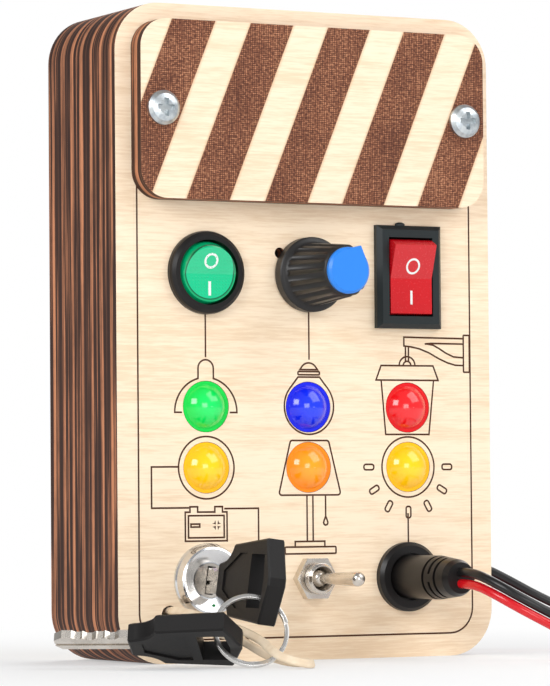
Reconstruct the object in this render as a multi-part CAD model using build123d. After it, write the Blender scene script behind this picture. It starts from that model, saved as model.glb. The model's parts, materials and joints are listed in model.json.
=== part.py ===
from build123d import *
import math
import os

# Wooden busy board: a plywood case with switches, lamps, a key lock and a plug on its front.
# Millimetres. The origin is at the centre of the flat base, +Z up, and the front looks along -Y.

# Case: sheets of plywood glued in a stack, front panel, frames and back panel
sheet = 4.4
frame_count = 5
board_width = 85.0
board_height = 130.0
corner_radius = 9.7
frame_wall = 7.0
frame_inner_radius = 4.0

# Fits
running_gap = 0.05
drop_in_gap = 0.15
drill_gap = 0.1
clear_of = 0.3

# Places on the front: the side columns and the rows
column = 23.0
cover_to_switches = 14.2
lamp_pitch = 12.05
lamps_below_middle = 2.125
bottom_row = 16.2
toggle_x = 0.8
socket_x = 22.4

# Battery cover and its screws
cover_side_gap = 3.5
cover_height = 35.3
cover_radius = 5.7
cover_inset = 3.6
screw_inset = 4.7
screw_diameter = 3.0
screw_length = 16.0
screw_boss_diameter = 9.0
screw_head_diameter = 6.8
screw_head_height = 1.9
screw_slot_width = 1.0
screw_slot_depth = 1.1
screw_slot_length = 3.6

# Battery bay: two AAA cells in a moulded tray
cell_diameter = 10.4
cell_length = 43.6
cell_cap_diameter = 3.8
cell_cap_length = 0.9
tray_wall = 1.3
tray_end_room = 4.0
tray_depth = 11.6
tray_radius = 1.2
tray_finger = 16.0
bay_width = 62.0
bay_height = 26.5
bay_radius = 2.0
contact_thickness = 0.4
contact_size = 7.5
spring_coils = 4
spring_radius = 2.7
spring_taper = 0.35

# Lamps: 10 mm LEDs pushed in from behind
lamp_diameter = 10.0
lamp_flange_diameter = 11.2
lamp_flange = 1.5
lamp_leg = 0.5
lamp_leg_spacing = 2.54
wire_diameter = 1.1

# Rocker switches
rocker_bezel = 2.0
rocker_tilt = 9.0
rocker_pin_diameter = 2.0
rocker_pin_length = 0.8
rocker_pivot_depth = 2.2
rocker_room = 0.25
rocker_back = 2.4
switch_body_depth = 13.4
switch_wall = 1.4
terminal_width = 4.0
terminal_thickness = 0.8
terminal_length = 6.5
terminal_spacing = 7.0
round_bezel_diameter = 16.5
round_opening_diameter = 12.9
rect_bezel_width = 15.0
rect_bezel_height = 20.9
rect_opening_width = 10.2
rect_opening_height = 16.0

# Potentiometer and its knob
pot_bush_diameter = 7.0
pot_bush_length = 7.4
pot_body_diameter = 16.4
pot_body_depth = 8.6
pot_wafer = 1.6
pot_wafer_width = 14.0
pot_wafer_height = 7.0
pot_nut_flats = 10.0
pot_nut_height = 2.0
pot_shaft_diameter = 6.0
pot_shaft_depth = 4.0
pot_lug_width = 1.6
pot_lug_length = 6.5
pot_lug_spacing = 5.0
pot_tab_hole = 2.2
pot_tab_x = -6.2
pot_tab_rise = 4.3
knob_skirt_diameter = 15.0
knob_skirt = 2.6
knob_base_diameter = 12.6
knob_top_diameter = 10.4
knob_height = 16.0
knob_gap = 0.5
knob_recess_diameter = 12.0
knob_recess_depth = 2.2
knob_flutes = 18
knob_flute_radius = 0.9
knob_flute_depth = 0.35
knob_cap_diameter = 9.2
knob_cap_height = 1.2
knob_pointer = 27.0

# Toggle switch
toggle_bush_diameter = 6.0
toggle_bush_out = 4.1
toggle_nut_flats = 8.0
toggle_nut_height = 2.0
toggle_body_width = 13.0
toggle_body_height = 8.0
toggle_body_depth = 9.6
toggle_lever_length = 11.4
toggle_lever_tip = 3.0
toggle_lever_root = 2.0
toggle_ball_diameter = 3.6
toggle_ball_depth = 2.0
toggle_mouth = 4.9
toggle_lug_length = 6.2
toggle_lug_spacing = 4.7
toggle_throw = 14.0

# Key switch
lock_bezel_diameter = 14.7
lock_bezel_height = 2.5
lock_dish_height = 1.3
lock_rim_diameter = 12.4
lock_barrel_diameter = 12.0
lock_barrel_depth = 19.0
lock_nut_flats = 13.4
lock_nut_height = 2.5
lock_lug_length = 4.4
lug_height = 2.4
lock_lug_spacing = 5.6
plug_diameter = 6.8
plug_depth = 16.0
plug_turned = 8.0
keyway_width = 1.8
keyway_height = 5.6
keyway_depth = 13.0

# Keys
key_neck_y = -23.2
key_thickness = 3.9
key_neck = 3.5
key_flare = 5.7
key_flare_half = 7.05
key_wide = 19.0
key_wide_half = 8.3
key_length = 21.5
key_chamfer = 0.35
key_slot_start = 13.4
key_slot_end = 19.3
key_slot_half = 5.2
key_slot_corner = 5.3
key_panel_end = 11.6
key_panel_bend = 8.8
key_panel_start = 2.6
key_panel_half = 5.4
key_panel_neck = 1.9
key_panel_depth = 0.35
blade_length = 14.5
blade_height = 5.2
blade_thickness = 1.6
blade_tang = 6.0
blade_groove = 0.35
blade_cuts = (3.2, 5.4, 7.6, 9.8)
blade_cut_depths = (0.9, 0.5, 1.1, 0.7)
hanging_turn = 35.0
hanging_tilt = 63.3

# Split ring: it hangs in key 1's slot and leans out until it stands on the floor
ring_radius = 6.95
ring_wire = 0.84
ring_wire_thickness = 0.58
ring_pitch = 0.6
ring_turned = 18.0
ring_lean = 24.0
ring_slot_s = 16.25
ring_slot_t = -3.35
ring_side = 2.8
ring_key_angle = 108.2
ring_key_s = 16.6
ring_key_t = -1.2

# Lace: a flat thong from its hole, round the ring and back
lace_wall_gap = 4.2
lace_z = 9.65
lace_hole = 3.5
lace_diameter = 1.3
lace_strand = 0.8
knot_diameter = 5.0

# DC socket and plug
socket_flange_diameter = 14.0
socket_flange = 2.0
socket_body_diameter = 11.0
socket_body_depth = 13.0
socket_recess_diameter = 9.6
socket_recess = 1.2
socket_nut_flats = 13.4
socket_nut_height = 2.4
socket_lug_length = 7.2
socket_lug_spacing = 5.0
jack_depth = 10.5
jack_pin = 2.0
jack_pin_set_back = 1.0
dc_body_diameter = 8.8
dc_body_straight = 12.5
dc_body_length = 20.7
dc_body_end_diameter = 6.6
dc_barrel_diameter = 5.5
dc_barrel_length = 9.4
relief_slot = 0.7
relief_pitch = 1.9
relief_slots = 3
relief_depth = 1.5
lead_diameter = 1.9
lead_pitch = 2.25
lead_z = 16.6
grommet_width = 6.4
grommet_height = 8.4
grommet_flange = 1.0
window_height = 5.4

# Hook-up wire, in two planes behind the switches
red_y = 4.2
black_y = 2.6
feed_x = -12.0
side_wire_gap = 2.0
wire_bend = 1.8

# Worked out from those
board_depth = sheet * (frame_count + 2)
face_y = -board_depth / 2
panel_back_y = face_y + sheet
back_panel_y = board_depth / 2 - sheet
side_x = board_width / 2
wall_x = side_x - frame_wall
cover_z = board_height - cover_inset - cover_height / 2
cover_width = board_width - 2 * cover_side_gap
screw_x = cover_width / 2 - screw_inset
switch_row = cover_z - cover_height / 2 - cover_to_switches
lamps_z = (switch_row + bottom_row) / 2 - lamps_below_middle
upper_lamp_row = lamps_z + lamp_pitch / 2
lower_lamp_row = lamps_z - lamp_pitch / 2
lace_x = lace_wall_gap - wall_x
red_side_x = side_wire_gap - wall_x
black_side_x = wall_x - side_wire_gap
cover_front_y = face_y - sheet
screw_tip_y = cover_front_y + screw_length
tray_length = cell_length + 2 * tray_end_room + 2 * tray_wall
tray_height = 2 * cell_diameter + 3 * tray_wall + 4 * drill_gap
tray_front_y = back_panel_y - tray_depth
cell_y = back_panel_y - tray_wall - cell_diameter / 2 - drill_gap
lamp_back_y = panel_back_y + lamp_flange
bezel_y = face_y - rocker_bezel
pivot_y = bezel_y + rocker_pivot_depth
pocket_back_y = pivot_y + rocker_back + 1.4
switch_back_y = face_y + switch_body_depth
round_body_diameter = round_opening_diameter + 2 * switch_wall
round_rocker_width = round_opening_diameter - 2 * rocker_room
rect_body_width = rect_opening_width + 2 * switch_wall
rect_body_height = rect_opening_height + 2 * switch_wall
rect_rocker_width = rect_opening_width - 2 * clear_of
pot_bush_front_y = panel_back_y - pot_bush_length
pot_back_y = panel_back_y + pot_body_depth
pot_lug_end_y = panel_back_y + pot_wafer + pot_lug_length
pot_lug_z = switch_row - pot_body_diameter / 2 - 1.8
knob_back_y = face_y - knob_gap
knob_front_y = knob_back_y - knob_height
toggle_front_y = face_y - toggle_bush_out
toggle_ball_y = toggle_front_y + toggle_ball_depth
toggle_back_y = panel_back_y + toggle_body_depth
lock_front_y = face_y - lock_bezel_height
plug_front_y = face_y - lock_dish_height
barrel_back_y = face_y + lock_barrel_depth
socket_front_y = face_y - socket_flange
recess_back_y = socket_front_y + socket_recess
socket_back_y = face_y + socket_body_depth
dc_front_y = recess_back_y - dc_body_length
lead_end_x = side_x + grommet_flange


# Building blocks: everything on the front lies along Y
def facing(x, y, z):
    return Plane(origin=(x, y, z), x_dir=(1, 0, 0), z_dir=(0, -1, 0))


def rod(x, z, y_front, y_back, diameter):
    return facing(x, y_back, z) * Cylinder(
        diameter / 2, y_back - y_front, align=(Align.CENTER, Align.CENTER, Align.MIN)
    )


def block(x, z, y_front, y_back, width, height, radius=0.0):
    outline = RectangleRounded(width, height, radius) if radius else Rectangle(width, height)
    return extrude(facing(x, y_back, z) * outline, y_back - y_front)


def hexagon(x, z, y_front, y_back, flats):
    outline = RegularPolygon(flats / 2, 6, major_radius=False)
    return extrude(facing(x, y_back, z) * outline, y_back - y_front)


# A body turned about a Y axis, from its (radius, y) outline
def turned(x, z, outline):
    line = Polyline(*[(radius, y, 0) for radius, y in outline], close=True)
    return Pos(x, 0, z) * revolve(make_face(line), Axis.Y)


# A (y, z) outline swept across X about x, as for a rocker
def across(x, width, outline):
    plane = Plane(origin=(x - width / 2, 0, 0), x_dir=(0, 1, 0), z_dir=(1, 0, 0))
    return extrude(plane * outline, width)


def tube(points, diameter, radii):
    path = FilletPolyline(*points, radius=radii)
    start = Plane(origin=path @ 0, z_dir=path % 0)
    return sweep(start * Circle(diameter / 2), path=path), path


# Each corner's arc takes 0.45 of its shorter run
def corner_radii(points):
    radii = []
    for before, here, after in zip(points, points[1:], points[2:]):
        first = Vector(*here) - Vector(*before)
        second = Vector(*after) - Vector(*here)
        turn = math.radians(first.get_angle(second))
        radii.append(0.45 * min(first.length, second.length) / math.tan(turn / 2))
    return radii


# Case
def panel(y_front):
    return block(0, board_height / 2, y_front, y_front + sheet, board_width, board_height, corner_radius)


def front_panel():
    wood = panel(face_y)
    cutters = [block(0, cover_z, face_y, panel_back_y, bay_width, bay_height, bay_radius)]
    for side in (-1, 1):
        cutters.append(rod(side * screw_x, cover_z, face_y, panel_back_y, screw_diameter + 2 * drill_gap))
    for x in (-column, 0, column):
        for z in (upper_lamp_row, lower_lamp_row):
            cutters.append(rod(x, z, face_y, panel_back_y, lamp_diameter + 2 * drill_gap))
    cutters.append(rod(-column, switch_row, face_y, panel_back_y, round_body_diameter + 2 * drill_gap))
    cutters.append(
        block(
            column, switch_row, face_y, panel_back_y,
            rect_body_width + 2 * drill_gap, rect_body_height + 2 * drill_gap,
        )
    )
    cutters.append(rod(0, switch_row, face_y, panel_back_y, pot_bush_diameter + 2 * drill_gap))
    cutters.append(rod(pot_tab_x, switch_row + pot_tab_rise, face_y, panel_back_y, pot_tab_hole))
    cutters.append(rod(toggle_x, bottom_row, face_y, panel_back_y, toggle_bush_diameter + 2 * drill_gap))
    cutters.append(rod(-column, bottom_row, face_y, panel_back_y, lock_barrel_diameter + 2 * drill_gap))
    cutters.append(rod(socket_x, bottom_row, face_y, panel_back_y, socket_body_diameter + 2 * drill_gap))
    cutters.append(rod(lace_x, lace_z, face_y, panel_back_y, lace_hole))
    return wood - cutters


# The first frames widen round the cover's screws, which bite into them
def frame(index):
    y_front = panel_back_y + index * sheet
    y_back = y_front + sheet
    hollow = block(
        0, board_height / 2, y_front, y_back,
        board_width - 2 * frame_wall, board_height - 2 * frame_wall, frame_inner_radius,
    )
    wood = panel(y_front) - hollow
    if y_front < screw_tip_y:
        for x in (-screw_x, screw_x):
            wood += rod(x, cover_z, y_front, y_back, screw_boss_diameter)
            wood -= rod(x, cover_z, y_front, y_back, screw_diameter)
    if index == frame_count // 2:
        wood -= Pos(side_x - frame_wall / 2, y_front + sheet / 2, lead_z) * Box(
            frame_wall, sheet, window_height
        )
    return wood


def cover_plate():
    wood = block(0, cover_z, cover_front_y, face_y, cover_width, cover_height, cover_radius)
    for side in (-1, 1):
        wood -= rod(side * screw_x, cover_z, cover_front_y, face_y, screw_diameter + 2 * drill_gap)
    return wood


# Pan head with a cross recess, and a shank that ends in a point
def cover_screw(x):
    head_y = cover_front_y - screw_head_height
    radius = screw_head_diameter / 2
    shank = screw_diameter / 2
    screw = turned(
        x, cover_z,
        [
            (0, head_y), (0.45 * radius, head_y), (0.8 * radius, head_y + 0.35), (radius, head_y + 1.1),
            (radius, cover_front_y), (shank, cover_front_y), (shank, screw_tip_y - 2 * shank), (0, screw_tip_y),
        ],
    )
    for width, height in ((screw_slot_length, screw_slot_width), (screw_slot_width, screw_slot_length)):
        screw -= block(x, cover_z, head_y, head_y + screw_slot_depth, width, height)
    return screw


# Battery bay
def cell_z(side):
    return cover_z + side * (cell_diameter + tray_wall + 2 * drill_gap) / 2


# Moulded tray with two troughs, cut away at the middle so that a finger lifts the cells out
def battery_tray():
    tray = block(0, cover_z, tray_front_y, back_panel_y, tray_length, tray_height, tray_radius)
    room = tray_length - 2 * tray_wall
    trough = cell_diameter + 2 * drill_gap
    for side in (-1, 1):
        tray -= block(0, cell_z(side), tray_front_y, back_panel_y - tray_wall, room, trough)
    finger_back_y = tray_front_y + cell_diameter / 2
    return tray - block(0, cover_z, tray_front_y, finger_back_y, tray_finger, tray_height)


# A cell lies along X, with its cap towards the plate contact
def battery(side):
    length = cell_length - cell_cap_length
    can = Pos(-side * cell_cap_length / 2, cell_y, cell_z(side)) * Rot(0, 90, 0) * Cylinder(cell_diameter / 2, length)
    cap = Pos(side * (cell_length - cell_cap_length) / 2, cell_y, cell_z(side)) * Rot(0, 90, 0) * Cylinder(
        cell_cap_diameter / 2, cell_cap_length
    )
    return can + cap


def contact_plate(side, end):
    x = end * (tray_length / 2 - tray_wall - contact_thickness / 2)
    return Pos(x, cell_y, cell_z(side)) * Box(contact_thickness, contact_size, contact_size)


# The button that meets the cap, pressed out of the plate
def cap_contact(side):
    end_x = tray_length / 2 - tray_wall - contact_thickness
    length = end_x - cell_length / 2
    button = Pos(side * (end_x - length / 2), cell_y, cell_z(side)) * Rot(0, 90, 0) * Cylinder(
        cell_cap_diameter / 2, length
    )
    return contact_plate(side, side) + button


# The spring that meets the flat end: coils pressed together, which narrow towards the cell
def spring_contact(side):
    end_x = tray_length / 2 - tray_wall - contact_thickness
    length = end_x - cell_length / 2
    pitch = length / spring_coils
    outline = Sketch()
    for coil in range(spring_coils):
        outline += Pos((coil + 0.5) * pitch, spring_radius - coil * spring_taper) * Circle(0.58 * pitch)
    stop = Box(length, contact_size, contact_size, align=(Align.MIN, Align.CENTER, Align.CENTER))
    coils = revolve(outline, Axis.X) & stop
    turn_to_cell = Rot(0, 0, 0 if side > 0 else 180)
    return contact_plate(side, -side) + Pos(-side * end_x, cell_y, cell_z(side)) * turn_to_cell * coils


# Lamps
def lamp(x, z):
    dome = Pos(x, face_y, z) * Rot(90, 0, 0) * Sphere(lamp_diameter / 2, arc_size1=0)
    body = rod(x, z, face_y, panel_back_y, lamp_diameter)
    return dome + body + rod(x, z, panel_back_y, lamp_back_y, lamp_flange_diameter)


# The long leg reaches the red wire and the short one, below it, the black wire
def lamp_legs(x, z):
    return [
        block(x, z + side * lamp_leg_spacing / 2, lamp_back_y, wire_y - wire_diameter / 2, lamp_leg, lamp_leg)
        for side, wire_y in ((1, red_y), (-1, black_y))
    ]


# Rocker switches
# Shallow V seen from the side: round ends about the pin, and a flat back. It rests with its lower half pressed.
def rocker_outline(half_height):
    reach = half_height - rocker_room
    tilt = math.radians(rocker_tilt)
    valley = -rocker_pivot_depth / math.cos(tilt)
    end_angle = math.asin(rocker_pivot_depth / reach) + tilt
    front_y = -reach * math.sin(end_angle)
    front_z = reach * math.cos(end_angle)
    slim = 0.62 * reach
    top = [
        Line((valley, 0), (front_y, front_z)),
        ThreePointArc((front_y, front_z), (0.5 * front_y, math.sqrt(reach**2 - (0.5 * front_y) ** 2)), (0, reach)),
        Line((0, reach), (rocker_back, slim)),
    ]
    bottom = [mirror(edge, Plane.XZ) for edge in top]
    return make_face(Curve() + top + bottom + Line((rocker_back, slim), (rocker_back, -slim)))


def rocker(x, half_height, width, round_front):
    body = across(x, width, rocker_outline(half_height))
    if round_front:
        body &= Pos(x, 0, 0) * Sphere(half_height - rocker_room)
    pins = Pos(x, 0, 0) * Rot(0, 90, 0) * Cylinder(rocker_pin_diameter / 2, width + 2 * rocker_pin_length)
    return Pos(0, pivot_y, switch_row) * (body + pins).rotate(Axis.X, rocker_tilt)


def switch_terminals(x):
    end_y = switch_back_y + terminal_length
    return [
        block(x, switch_row + side * terminal_spacing / 2, switch_back_y, end_y, terminal_width, terminal_thickness)
        for side in (-1, 1)
    ]


def rocker_bores(x, width):
    bore = Cylinder((rocker_pin_diameter + 2 * running_gap) / 2, width + 2 * (rocker_pin_length + running_gap))
    return Pos(x, pivot_y, switch_row) * Rot(0, 90, 0) * bore


def round_switch_body():
    x = -column
    bezel = turned(
        x, switch_row,
        [
            (0, bezel_y), (round_bezel_diameter / 2 - 0.9, bezel_y), (round_bezel_diameter / 2 - 0.2, bezel_y + 0.5),
            (round_bezel_diameter / 2, bezel_y + 1.1), (round_bezel_diameter / 2, face_y), (0, face_y),
        ],
    )
    body = bezel + rod(x, switch_row, face_y, switch_back_y, round_body_diameter)
    body -= rod(x, switch_row, bezel_y, pocket_back_y, round_opening_diameter)
    return body - rocker_bores(x, round_rocker_width)


def rect_switch_body():
    x = column
    plate = block(x, switch_row, bezel_y, face_y, rect_bezel_width, rect_bezel_height)
    bezel = chamfer(plate.faces().sort_by(Axis.Y)[0].edges(), 0.9)
    body = bezel + block(x, switch_row, face_y, switch_back_y, rect_body_width, rect_body_height)
    body -= block(x, switch_row, bezel_y, pocket_back_y, rect_opening_width, rect_opening_height)
    return body - rocker_bores(x, rect_rocker_width)


# Potentiometer
def pot_body():
    body = rod(0, switch_row, panel_back_y, pot_back_y, pot_body_diameter)
    wafer_back_y = panel_back_y + pot_wafer
    wafer = block(0, switch_row - pot_body_diameter / 2, panel_back_y, wafer_back_y, pot_wafer_width, pot_wafer_height)
    bush = rod(0, switch_row, pot_bush_front_y, panel_back_y, pot_bush_diameter)
    bore = rod(0, switch_row, pot_bush_front_y, panel_back_y + pot_shaft_depth, pot_shaft_diameter + 2 * running_gap)
    return body + wafer + bush - bore


def pot_lugs():
    return [
        block(side * pot_lug_spacing, pot_lug_z, pot_lug_end_y - pot_lug_length, pot_lug_end_y, pot_lug_width, 0.6)
        for side in (-1, 0, 1)
    ]


def pot_nut():
    y_front = face_y - pot_nut_height
    bore = pot_bush_diameter + 2 * running_gap
    return hexagon(0, switch_row, y_front, face_y, pot_nut_flats) - rod(0, switch_row, y_front, face_y, bore)


def pot_shaft():
    return rod(0, switch_row, knob_front_y + 1.5, panel_back_y + pot_shaft_depth, pot_shaft_diameter)


# Fluted, tapered body over a round skirt, bored for the shaft and hollow over the nut
def knob_body():
    skirt_y = knob_back_y - knob_skirt
    skirt = knob_skirt_diameter / 2
    base = knob_base_diameter / 2
    top = knob_top_diameter / 2
    body = turned(
        0, switch_row,
        [
            (0, knob_front_y), (top - 0.6, knob_front_y), (top, knob_front_y + 0.6), (base, skirt_y),
            (skirt - 0.5, skirt_y), (skirt, skirt_y + 0.5), (skirt, knob_back_y), (0, knob_back_y),
        ],
    )
    lean = math.degrees(math.atan2(base - top, skirt_y - knob_front_y - 0.6))
    length = skirt_y - knob_front_y + 1.0
    lift = base + knob_flute_radius - knob_flute_depth
    flute = Pos(0, skirt_y, lift) * Rot(lean, 0, 0) * facing(0, 0, 0) * Cylinder(
        knob_flute_radius, length, align=(Align.CENTER, Align.CENTER, Align.MIN)
    )
    cutters = [
        Pos(0, 0, switch_row) * flute.rotate(Axis.Y, index * 360 / knob_flutes) for index in range(knob_flutes)
    ]
    recess = rod(0, switch_row, knob_back_y - knob_recess_depth, knob_back_y, knob_recess_diameter)
    bore = rod(0, switch_row, knob_front_y + 1.5, knob_back_y, pot_shaft_diameter)
    bush_room = rod(0, switch_row, pot_bush_front_y - clear_of, knob_back_y, pot_bush_diameter + 2 * clear_of)
    return body - cutters - recess - bore - bush_room


# The cap is a disc with a pointed nub that shows the setting
def knob_cap():
    radius = knob_cap_diameter / 2
    y_front = knob_front_y - knob_cap_height
    disc = turned(
        0, 0,
        [(0, y_front), (radius - 0.5, y_front), (radius, y_front + 0.5), (radius, knob_front_y), (0, knob_front_y)],
    )
    nub = extrude(
        facing(0, knob_front_y, 0)
        * make_face(Polyline((-2.2, 0.8 * radius), (0, radius + 0.9), (2.2, 0.8 * radius), close=True)),
        knob_cap_height,
    )
    return Pos(0, 0, switch_row) * (disc + nub).rotate(Axis.Y, knob_pointer)


# Toggle switch
def toggle_body():
    return block(toggle_x, bottom_row, panel_back_y, toggle_back_y, toggle_body_width, toggle_body_height, 0.6)


# Threaded bush with a keyway on its left and a cone that lets the lever swing
def toggle_bushing():
    radius = toggle_bush_diameter / 2
    bush = turned(
        toggle_x, bottom_row,
        [
            (0, toggle_front_y), (radius - 0.4, toggle_front_y), (radius, toggle_front_y + 0.4),
            (radius, panel_back_y), (0, panel_back_y),
        ],
    )
    ball_room = toggle_ball_diameter / 2 + running_gap
    room = turned(
        toggle_x, bottom_row,
        [
            (0, toggle_front_y), (toggle_mouth / 2, toggle_front_y), (ball_room, toggle_ball_y),
            (ball_room, panel_back_y), (0, panel_back_y),
        ],
    )
    slot = block(toggle_x - radius, bottom_row, toggle_front_y, panel_back_y, 1.0, 1.2)
    return bush - room - slot


def toggle_nut():
    y_front = face_y - toggle_nut_height
    bore = toggle_bush_diameter + 2 * running_gap
    nut = hexagon(toggle_x, bottom_row, y_front, face_y, toggle_nut_flats)
    return nut - rod(toggle_x, bottom_row, y_front, face_y, bore)


# Bat lever: a ball in the bush, a slim root and a round tip
def toggle_lever():
    tip = toggle_lever_tip / 2
    root = toggle_lever_root / 2
    end_y = -toggle_lever_length
    bar = Curve() + [
        Line((0, 1.2), (0, end_y - tip)),
        ThreePointArc((0, end_y - tip), (tip * math.sin(math.pi / 4), end_y - tip * math.cos(math.pi / 4)), (tip, end_y)),
        Line((tip, end_y), (root, -1.0)),
        Line((root, -1.0), (root, 1.2)),
        Line((root, 1.2), (0, 1.2)),
    ]
    lever = revolve(make_face(bar), Axis.Y) + Sphere(toggle_ball_diameter / 2)
    return Pos(toggle_x, toggle_ball_y, bottom_row) * lever.rotate(Axis.Z, toggle_throw)


def toggle_terminals():
    end_y = toggle_back_y + toggle_lug_length
    return [
        block(toggle_x + side * toggle_lug_spacing, bottom_row, toggle_back_y, end_y, 0.8, 2.0) for side in (-1, 0, 1)
    ]


# Key switch: a domed, dished bezel in front of a threaded barrel, and the plug that turns in it
def lock_body():
    radius = lock_bezel_diameter / 2
    rim = lock_rim_diameter / 2
    dish_y = face_y - lock_dish_height
    body = turned(
        -column, bottom_row,
        [
            (0, dish_y), (plug_diameter / 2 + 0.3, dish_y), (rim - 0.5, lock_front_y + 0.2), (rim, lock_front_y),
            (rim + 0.4, lock_front_y + 0.15), (radius - 0.25, face_y - 0.9), (radius, face_y - 0.5), (radius, face_y),
            (lock_barrel_diameter / 2, face_y), (lock_barrel_diameter / 2, barrel_back_y), (0, barrel_back_y),
        ],
    )
    bore = plug_diameter + 2 * running_gap
    return body - rod(-column, bottom_row, dish_y, dish_y + plug_depth + running_gap, bore)


def lock_nut():
    y_back = panel_back_y + lock_nut_height
    bore = lock_barrel_diameter + 2 * running_gap
    nut = hexagon(-column, bottom_row, panel_back_y, y_back, lock_nut_flats)
    return nut - rod(-column, bottom_row, panel_back_y, y_back, bore)


def lock_plug():
    plug = rod(0, 0, plug_front_y, plug_front_y + plug_depth, plug_diameter)
    plug -= block(0, 0, plug_front_y, plug_front_y + keyway_depth, keyway_width, keyway_height)
    return Pos(-column, 0, bottom_row) * plug.rotate(Axis.Y, plug_turned)


def lock_terminals():
    end_y = barrel_back_y + lock_lug_length
    return [
        block(-column + side * lock_lug_spacing / 2, bottom_row, barrel_back_y, end_y, 0.6, lug_height) for side in (-1, 1)
    ]


# Keys, drawn in their own plane: s runs from the neck to the outer end, t across
def key_head_outline():
    arc_top = ThreePointArc((1.2, key_neck), (4.1, 4.75), (key_flare, key_flare_half))
    arc_bottom = mirror(arc_top, Plane.XZ)
    lines = [
        Line((0, -key_neck + 0.3), (0, key_neck - 0.3)),
        Line((0, key_neck - 0.3), (1.2, key_neck)),
        arc_top,
        Line((key_flare, key_flare_half), (key_wide, key_wide_half)),
        Line((key_wide, key_wide_half), (key_length, 0.8)),
        Line((key_length, 0.8), (key_length, -0.8)),
        Line((key_length, -0.8), (key_wide, -key_wide_half)),
        Line((key_wide, -key_wide_half), (key_flare, -key_flare_half)),
        arc_bottom,
        Line((1.2, -key_neck), (0, -key_neck + 0.3)),
    ]
    return make_face(Curve() + lines)


def key_head():
    solid = extrude(key_head_outline(), key_thickness / 2, both=True)
    rims = solid.faces().filter_by(Axis.Z).edges()
    solid = chamfer(rims, key_chamfer)
    slot = Polyline(
        (key_slot_start, -key_slot_half), (key_slot_start + key_slot_corner, -key_slot_half), (key_slot_end, 0),
        (key_slot_start + key_slot_corner, key_slot_half), (key_slot_start, key_slot_half), close=True,
    )
    solid -= extrude(make_face(slot), key_thickness, both=True)
    panel_line = Polyline(
        (key_panel_start, -key_panel_neck), (key_panel_bend, -key_panel_half), (key_panel_end, -key_panel_half),
        (key_panel_end, key_panel_half), (key_panel_bend, key_panel_half), (key_panel_start, key_panel_neck),
        close=True,
    )
    for side in (-1, 1):
        floor = side * (key_thickness / 2 - key_panel_depth)
        solid -= extrude(Pos(0, 0, floor) * make_face(panel_line), side * key_panel_depth)
    return solid - blade_tang_block()


def blade_tang_block():
    return Pos(blade_tang / 2, 0, 0) * Box(blade_tang, blade_height, blade_thickness)


def key_blade():
    length = blade_length
    half = blade_height / 2
    outline = Polyline((0, -half), (-length + 1.2, -half), (-length, -half + 1.6), (-length, half - 1.4),
                       (-length + 1.6, half), (0, half), close=True)
    blade = extrude(make_face(outline), blade_thickness / 2, both=True)
    for place, depth in zip(blade_cuts, blade_cut_depths):
        notch = Polyline(
            (-place - 0.5, half - depth), (-place + 0.5, half - depth),
            (-place + 0.5 + depth, half), (-place - 0.5 - depth, half), close=True,
        )
        blade -= extrude(make_face(notch), blade_thickness, both=True)
    for side in (-1, 1):
        groove = Pos(-length / 2, -0.5 * side, side * blade_thickness / 2) * Box(length, 0.8, 2 * blade_groove)
        blade -= groove
    return blade + blade_tang_block()


key_1_turn = math.radians(plug_turned)
key_1_plane = Plane(
    origin=(-column, key_neck_y, bottom_row),
    x_dir=(0, -1, 0),
    z_dir=(-math.cos(key_1_turn), 0, math.sin(key_1_turn)),
)

# Split ring: its own right and up, then the place where it threads key 2
ring_turn = math.radians(ring_turned)
ring_tilt = math.radians(ring_lean)
ring_right = Vector(math.cos(ring_turn), -math.sin(ring_turn), 0)
ring_away = Vector(math.sin(ring_turn), math.cos(ring_turn), 0)
ring_up = ring_away * math.sin(ring_tilt) + Vector(0, 0, math.cos(ring_tilt))
ring_drop = math.sqrt(ring_radius**2 - ring_side**2)
ring_hang = key_1_plane.from_local_coords(Vector(ring_slot_s, ring_slot_t, 0))
ring_centre = ring_hang - ring_right * ring_side - ring_up * ring_drop
key_angle = math.radians(ring_key_angle)
ring_at_key = ring_centre + (ring_up * math.cos(key_angle) - ring_right * math.sin(key_angle)) * ring_radius

# Key 2 lies on its edge, leaning back on the ring
hang_turn = math.radians(hanging_turn)
hang_tilt = math.radians(hanging_tilt)
key_2_along = Vector(math.cos(hang_turn), -math.sin(hang_turn), 0)
key_2_across = Vector(
    -math.sin(hang_turn) * math.sin(hang_tilt), -math.cos(hang_turn) * math.sin(hang_tilt), math.cos(hang_tilt)
)
key_2_neck = ring_at_key - key_2_along * ring_key_s - key_2_across * ring_key_t
key_2_plane = Plane(origin=key_2_neck, x_dir=key_2_along, z_dir=key_2_along.cross(key_2_across))


# Two turns of flat wire, side by side
def key_ring():
    coils = Sketch()
    for side in (-1, 1):
        coils += Pos(ring_radius, side * ring_pitch / 2) * Rectangle(ring_wire, ring_wire_thickness)
    web = Rectangle(ring_wire - 0.3, ring_pitch)
    ring = revolve(Plane.XZ * (coils + Pos(ring_radius, 0) * web), Axis.Z)
    return Plane(origin=ring_centre, x_dir=ring_right, z_dir=ring_right.cross(ring_up)) * ring


# Lace: chosen points, from its hole, round the ring's lower side and back to the hole
lace_route = [
    (lace_x, face_y - clear_of, lace_z - lace_strand),
    (lace_x, -19.2, lace_z - lace_strand),
    (-30.2, -25.0, 7.7),
    (-29.2, -31.5, 6.4),
    (-27.4, -37.6, 5.4),
    (-24.1, -41.6, 2.3),
    (-20.9, -44.4, 1.0),
    (-18.3, -47.6, 0.9),
    (-18.8, -51.3, 0.9),
    (-22.2, -53.3, 1.1),
    (-25.7, -51.2, 2.2),
    (-26.1, -46.8, 3.8),
    (-25.2, -42.2, 5.2),
    (-26.9, -37.0, 7.1),
    (-27.9, -30.3, 8.3),
    (-30.1, -23.4, 9.9),
    (lace_x, -19.2, lace_z + lace_strand),
    (lace_x, face_y - clear_of, lace_z + lace_strand),
]


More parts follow.
